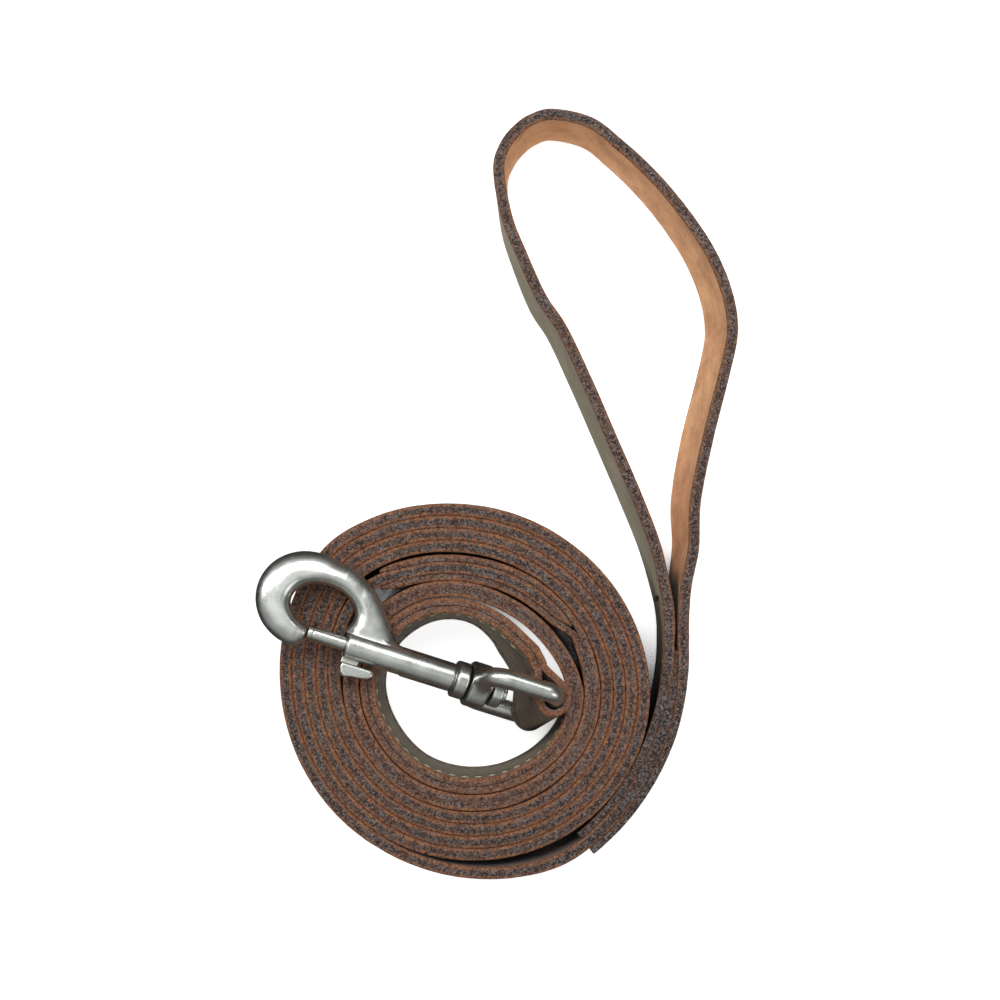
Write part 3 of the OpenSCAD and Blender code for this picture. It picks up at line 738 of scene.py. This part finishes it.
def strap_mesh(route, radii, crown, seams, grain_left, wear):
    """Points, faces, their materials, values and the distances along of a strap that follows route. seams are
    the (from, to, depth) stretches where stitches draw the leather in. grain_left is 1 with the grain side on
    the left, else -1. wear gives how rubbed the edge is at a distance along."""
    route = np.array(route)
    spots = route[:, :2]
    way = np.gradient(spots, axis=0)
    way /= np.linalg.norm(way, axis=1)[:, None]
    side = np.stack([-way[:, 1], way[:, 0]], axis=1)
    along = np.concatenate([[0], np.cumsum(np.linalg.norm(np.diff(spots, axis=0), axis=1))])
    section = profile(radii, crown, bool(seams))
    n, m = len(route), len(section)
    points = np.zeros((n, m, 3))
    strap = np.zeros((n, m, 3))
    tall = np.sqrt(STRAP_W ** 2 - route[:, 2] ** 2 - route[:, 3] ** 2)
    half = route[:, 5] / 2
    for k, (share, across, height, part) in enumerate(section):
        out = half * share + across * np.sign(share)
        up = np.full(n, height)
        if part == 0 and height > STRAP_W / 2:
            up = up + 0.07 * ripple(along + 3 * share, 23, 9.1, 4.3) - 0.05
        if part == 1:
            out = out + 0.06 * ripple(along, 31, 13) * math.sin(math.pi * height / STRAP_W)
        for start, end, pull in seams:
            here = (along > start) & (along < end) & (part > 0)
            row = min(abs(height - SEAM_INSET), abs(height - STRAP_W + SEAM_INSET))
            groove = math.exp(-(row / 0.6) ** 2)
            beat = 0.5 + 0.5 * np.cos(2 * math.pi * (along - start) / STITCH_PITCH)
            out = out - np.sign(share) * here * pull * groove * (0.45 + 0.55 * beat)
        lean = 1 - up / STRAP_W
        points[:, k, 0] = spots[:, 0] + side[:, 0] * out + route[:, 2] * lean
        points[:, k, 1] = spots[:, 1] + side[:, 1] * out + route[:, 3] * lean
        points[:, k, 2] = route[:, 4] + tall * up / STRAP_W
        strap[:, k] = np.stack([out * grain_left, up, along], axis=1)
    points = points.reshape(-1, 3)
    points[:, :2] += COIL_CENTRE
    faces, parts = [], []
    for i in range(n - 1):
        for k in range(m):
            j = (k + 1) % m
            faces.append((i * m + k, i * m + j, (i + 1) * m + j, (i + 1) * m + k))
            parts.append(max(section[k][3], section[j][3]))
    for at, order in ((0, -1), (n - 1, 1)):
        faces.append([at * m + k for k in range(m)][::order])
        parts.append(0)
    if grain_left < 0:
        parts = [{0: 0, 1: 2, 2: 1}[p] for p in parts]
    values = {"strap": strap.reshape(-1, 3), "half": np.repeat(half, m), "wear": np.repeat(wear(along), m)}
    return points, faces, parts, values, along


def rough_up(points, depth, size):
    """Moves each point by up to depth, in lumps of about size, so that no face is perfectly even."""
    for p in points:
        p += depth * np.array(noise.noise_vector(Vector(p) / size))
    return points


def make_strap(name, route, radii, crown, seams, grain_left, wear, looks, body, slot):
    points, faces, parts, values, along = strap_mesh(route, radii, crown, seams, grain_left, wear)
    rough_up(points, 0.035, 1.3)
    points[:, 2] = np.maximum(points[:, 2], 0)
    piece = new_piece(name + "_leather", points, faces, looks, body, slot, [name], parts, values)
    return along


def make_straps():
    main_looks = [cut_edge("main_edge", (0.95, 0.95), DARK_CORE, 0.55), grain_face("main_grain", GRAIN, 0.35),
                  flesh_face("main_flesh", BROWN_FLESH)]
    hook_looks = [cut_edge("hook_edge", (0.95, 0.12), WARM_CORE, 0.5), grain_face("hook_grain", GRAIN, 0.35),
                  flesh_face("hook_flesh", BROWN_FLESH)]
    handle_looks = [cut_edge("handle_edge", (0.45, 0.75), DARK_CORE, 0.7),
                    grain_face("handle_grain", LIT_HANDLE_GRAIN, 0.55), flesh_face("handle_flesh", FLESH)]
    make_strap("main_strap", main_route(), (0.45, 0.45), 0.12, [], 1,
               lambda s: 0.12 + 0.12 * ripple(s, 180, 97) - 1.1 * np.exp(-(s / 55) ** 4), main_looks, "leash",
               "leather")
    route = hook_route()
    folded = route_length(route) / 2
    make_strap("hook_strap", route, (0.4, 0.15), 0.06,
               [(10, folded - 20, 0.3), (folded + 20, 2 * folded - 6, 0.3)], 1,
               lambda s: (0.15 + 0.12 * ripple(s, 90, 41) + 0.35 * np.exp(-((s - folded) / 150) ** 4)
                             + 0.45 * np.exp(-((s - folded) / 16) ** 2)),
               hook_looks, "leash", "leather")
    route = handle_route()
    length = route_length(route)
    make_strap("handle_strap", route, (0.35, 0.4), 0.1, [(2, 54, 0.25), (length - 54, length - 2, 0.25)], -1,
               lambda s: (0.08 + 0.1 * ripple(s, 120, 61) - 1.1 * np.exp(-(s / 50) ** 4)
                          - 1.1 * np.exp(-((length - s) / 50) ** 4)),
               handle_looks, "leash", "handle_leather")


def route_length(route):
    spots = np.array(route)[:, :2]
    return float(np.linalg.norm(np.diff(spots, axis=0), axis=1).sum())


# ---- Thread ----

def pitch_angles(start, end, radius):
    """Angles a stitch pitch apart on a route of that radius."""
    angles = []
    angle = start
    while angle <= end:
        angles.append(angle)
        angle += math.degrees(STITCH_PITCH / radius(angle))
    return angles


def stitch_mesh(middle, along, out, up):
    """One stitch on a face: two twisted strands that rise from one hole, bow over the leather and go down the
    next. middle is on the face, along runs with the seam, out away from the face."""
    rings, ring = 9, 10
    length, bow, sink, r = 2.4, 0.28, 0.5, 0.21
    points = []
    for i in range(rings):
        u = i / (rings - 1)
        arch = math.sin(math.pi * u) ** 0.6
        centre = middle + along * (u - 0.5) * length + out * (bow * arch - sink)
        for k in range(ring):
            a = 2 * math.pi * k / ring
            wide = r * (1 + 0.16 * math.cos(2 * a - 7 * u)) * (0.75 + 0.25 * arch)
            points.append(centre + out * wide * math.sin(a) + up * wide * math.cos(a))
    return points, tube_faces(rings, ring)


def seam_mesh(spots):
    points, faces = [], []
    for middle, along, out, up in spots:
        new_points, new_faces = stitch_mesh(middle, along, out, up)
        faces += [[i + len(points) for i in face] for face in new_faces]
        points += new_points
    return points, faces


def stitch_spots(angle, r, half, lean, foot, up, stands):
    """A stitch's places on both faces. stands is how proud it is on the outer and the inner face."""
    tall = math.sqrt(STRAP_W ** 2 - lean[0] ** 2 - lean[1] ** 2)
    upward = np.array([-lean[0], -lean[1], tall]) / STRAP_W
    outward = np.append(polar(angle, 1), 0)
    outward -= upward * (outward @ upward)
    outward /= np.linalg.norm(outward)
    along = np.cross(upward, outward)
    p = polar(angle, r) + np.array(lean) * (1 - up / STRAP_W)
    middle = np.array([COIL_CENTRE[0] + p[0], COIL_CENTRE[1] + p[1], foot + tall * up / STRAP_W])
    return [(middle + outward * (half + stands[0]), along, outward, upward),
            (middle - outward * (half + stands[1]), along, -outward, upward)]


# The lower row of stitches takes a darker, greyer thread than the upper row.
def make_seams(upper_row_thread, lower_row_thread):
    for row, up, thread in (("upper", STRAP_W - SEAM_INSET, upper_row_thread), ("lower", SEAM_INSET, lower_row_thread)):
        hook, handle = [], []
        for a in pitch_angles(4, LAP_TO - 4, lap_r):
            last_turn = 0.05 if a > 330 else -0.3
            hook += stitch_spots(a, lap_r(a), PLY_T, lap_lean(a), lap_lift(a), up, (-0.3, last_turn))
        for a in pitch_angles(OUTER_TAIL_FROM + 4, MAIN_TO - 12, main_r):
            hook += stitch_spots(a, main_r(a), MAIN_T / 2 + SPLICE_T, UPRIGHT, 0, up, (-0.3, -0.3))
        for a in pitch_angles(MAIN_FROM + 4, TAIL_TO - 4, main_r):
            handle += stitch_spots(a, main_r(a), MAIN_T / 2 + 2, UPRIGHT, 0, up, (0.1, -0.2))
        for strap, spots in (("hook", hook), ("handle", handle)):
            new_piece(f"{strap}_stitches_{row}", *seam_mesh(spots), [thread], "leash", "thread",
                      [f"{strap}_seam_{row}"])


# ---- Cast pieces: solids given by a field that is negative inside ----

def smooth_min(a, b, reach):
    """The lesser of two fields, with a fillet of about reach where they meet."""
    share = np.clip(0.5 + 0.5 * (b - a) / reach, 0, 1)
    return b + (a - b) * share - reach * share * (1 - share)


def smooth_max(a, b, reach):
    return -smooth_min(-a, -b, reach)


def rounded(a, b):
    """Distance to where both fields are negative, which is round at its outer corners."""
    return np.minimum(np.maximum(a, b), 0) + np.hypot(np.maximum(a, 0), np.maximum(b, 0))


def turned(x, r, start, end, radius, rounding):
    """A cylinder along X with rounded rims."""
    dx = np.maximum(start - x, x - end) + rounding
    dr = r - radius + rounding
    return rounded(dx, dr) - rounding


def box_field(at, low, high):
    """Negative in the box from low to high."""
    sides = [np.maximum(a - x, x - b) for x, a, b in zip(at, low, high)]
    return np.maximum(np.maximum(sides[0], sides[1]), sides[2])


def faceted(y, z, share):
    """Distance from the X axis, drawn towards an octagon's by share."""
    flats = np.maximum(np.maximum(np.abs(y), np.abs(z)), (np.abs(y) + np.abs(z)) * math.sqrt(0.5))
    return share * flats + (1 - share) * np.hypot(y, z)


def outline_distance(points, x, y):
    """Distance to a closed outline, positive inside."""
    nearest = np.full(x.shape, 1e9)
    inside = np.zeros(x.shape, bool)
    for (ax, ay), (bx, by) in zip(points, points[1:] + points[:1]):
        ex, ey = bx - ax, by - ay
        t = np.clip(((x - ax) * ex + (y - ay) * ey) / (ex * ex + ey * ey), 0, 1)
        nearest = np.minimum(nearest, np.hypot(x - ax - t * ex, y - ay - t * ey))
        if ay != by:
            crosses = ((ay > y) != (by > y)) & (x < ex * (y - ay) / (by - ay) + ax)
            inside ^= crosses
    return np.where(inside, nearest, -nearest)


def surface(field, low, high, cell):
    """Points and faces of the surface where field is zero: one point in each cell that the surface crosses,
    then moved onto the surface."""
    counts = [int(math.ceil((b - a) / cell)) + 1 for a, b in zip(low, high)]
    axes = [a + cell * np.arange(c) for a, c in zip(low, counts)]
    values = field(*np.meshgrid(*axes, indexing="ij"))
    inside = values < 0
    cells = tuple(c - 1 for c in counts)
    total, hits, crossings = np.zeros(cells + (3,)), np.zeros(cells), []
    for axis in range(3):
        first = [slice(None)] * 3
        second = [slice(None)] * 3
        first[axis], second[axis] = slice(0, -1), slice(1, None)
        a, b = values[tuple(first)], values[tuple(second)]
        crosses = inside[tuple(first)] != inside[tuple(second)]
        crossings.append((crosses, inside[tuple(first)]))
        t = np.where(crosses, a / np.where(crosses, a - b, 1), 0)
        u, v = [k for k in range(3) if k != axis]
        for du in (0, 1):
            for dv in (0, 1):
                take = [slice(None)] * 3
                take[u], take[v] = slice(du, du + cells[u]), slice(dv, dv + cells[v])
                hit = crosses[tuple(take)]
                hits += hit
                total[..., axis] += t[tuple(take)]
                total[..., u] += hit * du
                total[..., v] += hit * dv
    used = hits > 0
    index = np.full(cells, -1)
    index[used] = np.arange(used.sum())
    corner = np.stack(np.nonzero(used), axis=1)
    points = np.array(low) + cell * (corner + total[used] / hits[used][:, None])
    faces = []
    for axis, (crosses, starts_inside) in enumerate(crossings):
        u, v = [k for k in range(3) if k != axis]
        where = np.stack(np.nonzero(crosses), axis=1)
        at_u, at_v = where[:, u], where[:, v]
        where = where[(at_u > 0) & (at_v > 0) & (at_u < cells[u]) & (at_v < cells[v])]
        around = []
        for du, dv in ((1, 1), (0, 1), (0, 0), (1, 0)):
            at = where.copy()
            at[:, u] -= du
            at[:, v] -= dv
            around.append(index[tuple(at.T)])
        quads = np.stack(around, axis=1)
        turn = starts_inside[tuple(where.T)] ^ (axis == 1)
        quads[~turn] = quads[~turn][:, ::-1]
        faces.append(quads)
    for _ in range(3):
        points = onto_surface(field, points, cell)
    return points, np.concatenate(faces).tolist()


def onto_surface(field, points, cell):
    """One step of each point along the field's slope, towards zero."""
    here = field(*points.T)
    gap = 0.05 * cell
    slope = np.stack([(field(*(points + gap * axis).T) - field(*(points - gap * axis).T)) / (2 * gap)
                      for axis in np.eye(3)], axis=1)
    step = -here[:, None] * slope / np.maximum((slope ** 2).sum(axis=1), 0.2)[:, None]
    length = np.linalg.norm(step, axis=1)[:, None]
    return points + step * np.minimum(1, 0.5 * cell / np.maximum(length, 1e-9))


def cast_piece(look, name, field, low, high, cell, roll, body, node):
    """A piece from a field in the snap's own frame, put in its place."""
    points, faces = surface(field, low, high, cell)
    matrix = on_snap(roll)
    new_piece(name, points @ matrix[:3, :3].T + matrix[:3, 3], faces, [look], body, "nickel", [node])


COLLAR_X = (15.35, 20.7)
FLANGE_X = (21.2, 24.4)
BARREL_X = (24.9, 53.9)
BARREL_R = 3.7
BOLT_R = 1.8
BOLT_GAP = 0.06
TIP_X = 64.25
SLOT_TO = 38.3
SLOT_HALF = 1.1
BORE_TO = 28
RIVET_R = 2.4
RIVET_TO = 26
RIVET_GAP = 0.06
BOLT_FROM = 43
# The eye's ring runs from its far bar to this, inside its collar; its sides are this far from the middle.
EYE_BACK_X = 18
EYE_HALF_W = 12.5
BOW_AT = (66.2, -7.7)
BOW_R = 12.2
BOW_SWELL = 1.1
# The D-shaped opening: its middle and its half length and half width
OPENING = (62.0, -6.9, 8.4, 5.8)
SHOULDER = [(40.8, -3.3), (44.6, -8.4), (47.8, -12.2), (50.6, -15.0), (54.4, -17.5), (58.3, -19.1)]


def hook_outline():
    """The hook seen flat: the shoulder, then the bow round to the tip and back along the barrel."""
    def bow(angle):
        a = math.radians(angle)
        r = BOW_R + BOW_SWELL * max(0, math.cos(a)) ** 2
        return BOW_AT[0] + r * math.cos(a), BOW_AT[1] + r * math.sin(a)
    # The outline runs on past the tip, which snap_body_field() cuts and rounds by itself.
    tip = [(65.6, 4.1), (64.6, 3.1), (61.5, 2.6), (61.5, 0.0)]
    return SHOULDER + [bow(a) for a in range(-108, 85, 4)] + tip + [(40.8, 0.0)]


def snap_body_field(x, y, z):
    """The hook, the barrel with its bore and slot, and the flange that meets the eye's collar."""
    outer = outline_distance(hook_outline(), x, y)
    cx, cy, long_r, short_r = OPENING
    round_r = np.hypot((x - cx) / long_r, (y - cy) / short_r)
    inner = (round_r - 1) * short_r * (1 + 0.25 * (np.abs(x - cx) / long_r))
    # Next to the bolt the bow is solid only from TIP_X on: there its tip meets the bolt.
    tip = np.maximum(x - TIP_X, -2.5 - y)
    tall = 2.6 + 0.6 * np.clip((x - 54) / 8, 0, 1)
    swell = sum(np.maximum(1 - distance / rounding, 0) ** 2
                for distance, rounding in ((outer, 5.5), (inner, 2.8), (tip, 0.7)))
    hook = (np.sqrt(swell + (z / tall) ** 2) - 1) * 2.2
    hook = np.maximum(hook, -np.minimum(outer, np.minimum(inner, tip)) - 0.3)
    r = np.hypot(y, z)
    barrel = turned(x, r, BARREL_X[0], BARREL_X[1], BARREL_R, 0.45)
    body = smooth_min(hook, barrel, 0.9)
    body = smooth_min(body, turned(x, r, FLANGE_X[1] - 0.4, BARREL_X[0] + 0.4, 3.2, 0.1), 0.2)
    body = smooth_min(body, turned(x, r, FLANGE_X[0], FLANGE_X[1], 4.8, 0.45), 0.2)
    bore = np.maximum(np.maximum(r - BOLT_R - BOLT_GAP, BORE_TO - x), x - TIP_X)
    slot = np.maximum(np.abs(z) - SLOT_HALF, np.maximum(np.maximum(SLOT_TO - x, x - TIP_X), -y))
    socket = np.maximum(r - RIVET_R, x - RIVET_TO)
    for hollow in (bore, slot, socket):
        body = smooth_max(body, -hollow, 0.35)
    return body


def eye_field(x, y, z):
    """The ring that the strap folds round, and the collar that the rivet turns in."""
    # The ring's centreline is a rectangle with round corners, wider ones at the collar.
    bend = np.where(x > 9, 5.0, 3.0)
    dx = np.abs(x - (EYE_BACK_X + FAR_X) / 2) - (EYE_BACK_X - FAR_X) / 2 + bend
    dz = np.abs(z) - EYE_HALF_W + bend
    bar = np.hypot(rounded(dx, dz) - bend, y) - EYE_BAR_R
    collar = turned(x, faceted(y, z, 0.35), COLLAR_X[0], COLLAR_X[1], 5.75, 0.7)
    body = smooth_min(bar, collar, 2.0)
    body = np.maximum(body, x - COLLAR_X[1])
    return smooth_max(body, RIVET_R + RIVET_GAP - np.hypot(y, z), 0.3)


def rivet_field(x, y, z):
    """The head inside the eye, its peened end and the shank."""
    r = np.hypot(y, z)
    head = turned(x, faceted(y, z, 0.5), 11.3, 14.3, 4.15, 0.6)
    peen = turned(x, r, 10.15, 12, 2.9, 0.5)
    body = smooth_min(head, peen, 0.3)
    return smooth_min(body, turned(x, r, 13.5, RIVET_TO, RIVET_R, 0.2), 0.2)


def bolt_field(x, y, z):
    """The rod, with a turned ring near its tip and a flat seat for the trigger's stud."""
    r = np.hypot(y, z)
    rod = turned(x, r, BOLT_FROM, TIP_X - 0.15, BOLT_R, 0.4)
    ring = np.abs(x - TIP_X + 1.6) - 0.14
    rod = smooth_max(rod, -np.maximum(ring, BOLT_R - 0.16 - r), 0.12)
    seat = box_field((x, y, z), (49.25, 0.9, -1), (53.85, 9, 1))
    return np.maximum(rod, -seat)


# The thumb pad seen from the side
PAD = [(53.7, 4.6), (53.9, 5.6), (53.4, 7.2), (52.2, 8.1), (50.6, 8.0), (46.0, 6.9), (45.0, 6.1), (45.0, 5.2),
       (45.8, 4.6)]


def trigger_field(x, y, z):
    """The stud in the bolt's seat and the pad on it, which is rounded and hollowed for the thumb."""
    rounding, half_w = 0.55, 2.6
    side = -outline_distance(PAD, x, y) + rounding
    across = np.abs(z) - half_w + rounding
    pad = rounded(side, across) - rounding
    hollow = 7.2 - np.hypot(x - 49.2, y - 14.6)
    pad = smooth_max(pad, hollow, 0.4)
    stud = box_field((x, y, z), (49.3, 0.95, -0.95), (53.8, 5.2, 0.95))
    return smooth_min(pad, stud, 0.4)


def bead_field(x, y, z):
    """The thread's melted end: a flattened bead and the nub that it drew out."""
    bead = np.sqrt(((x - 0.05) / 0.85) ** 2 + y ** 2 + (z / 0.95) ** 2) - 0.72
    nub = np.sqrt((x - 0.35) ** 2 + (y - 0.35) ** 2 + (z + 0.45) ** 2) - 0.38
    lumps = 0.05 * np.sin(5.1 * x + 1) * np.sin(6.3 * y) + 0.04 * np.sin(7.7 * z + 2)
    return smooth_min(bead, nub, 0.25) + lumps


def make_spring(look):
    """Round wire in nine turns, drawn together at both ends. It is built at rest, with no body of its own; on
    the snap it shortens as the bolt slides back.
    """
    wire, turns, steps, sides = 0.22, 9, 24, 8
    start, end, r = BORE_TO + wire + 0.02, BOLT_FROM - wire - 0.02, BOLT_R - wire - 0.1
    n = turns * steps
    points = []
    for i in range(n + 1):
        a = 2 * math.pi * i / steps
        share = i / n
        share = share - 0.045 * math.sin(2 * math.pi * share)
        for k in range(sides):
            b = 2 * math.pi * k / sides
            reach = r + wire * math.cos(b)
            points.append((start + (end - start) * share + wire * math.sin(b),
                           reach * math.cos(a), reach * math.sin(a)))
    matrix = on_snap(HOOK_ROLL)
    placed = np.array(points) @ matrix[:3, :3].T + matrix[:3, 3]
    spring = new_piece("spring_wire", placed, tube_faces(n + 1, sides), [look], None, "spring_steel",
                       ["bolt_spring"])
    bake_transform(spring)


def make_hardware():
    nickel = nickel_look()
    # (piece, field, low corner, high corner, cell, roll, body, node)
    castings = (
        ("snap_casting", snap_body_field, (20.4, -20.6, -5.4), (80.4, 5.8, 5.4), 0.3, HOOK_ROLL,
         "snap", "snap_body"),
        ("eye_ring", eye_field, (-3.2, -6.6, -15.7), (21.4, 6.6, 15.7), 0.32, EYE_ROLL, "eye", "swivel_eye"),
        ("rivet", rivet_field, (9.8, -4.8, -4.8), (26.6, 4.8, 4.8), 0.22, HOOK_ROLL, "snap", "swivel_rivet"),
        ("bolt_rod", bolt_field, (42.6, -2.2, -2.2), (64.6, 2.2, 2.2), 0.16, HOOK_ROLL, "bolt", "bolt"),
        ("thumb_piece", trigger_field, (44.6, 0.5, -3), (54.4, 8.6, 3), 0.18, HOOK_ROLL, "bolt", "trigger"))
    for casting in castings:
        cast_piece(nickel, *casting)
    make_spring(steel_look())


# On the hand loop's left leg, measured from the coil's centre
BEAD_AT = (48.95, 23.5, 13)


def make_bead():
    points, faces = surface(bead_field, (-1.2, -1.2, -1.2), (1.2, 1.2, 1.2), 0.1)
    middle = np.append(COIL_CENTRE, 0) + BEAD_AT
    look = thread_look("melted_thread", srgb(52, 42, 36), srgb(24, 19, 17))
    new_piece("thread_bead", points + middle, faces, [look], "leash", "dark_thread", ["thread_knot"])


make_camera()
make_world()
make_stage()
soft_box("key", (-60, 300, 600), (1300, 260), 3.8)
soft_box("side", (520, -260, 420), (260, 260), 0.45)
bpy.context.scene.view_settings.view_transform = "Standard"
make_straps()
make_seams(thread_look("cream_thread", srgb(222, 212, 182), srgb(158, 146, 114)),
           thread_look("darker_lower_thread", srgb(112, 104, 84), srgb(66, 60, 48)))
make_bead()
make_hardware()
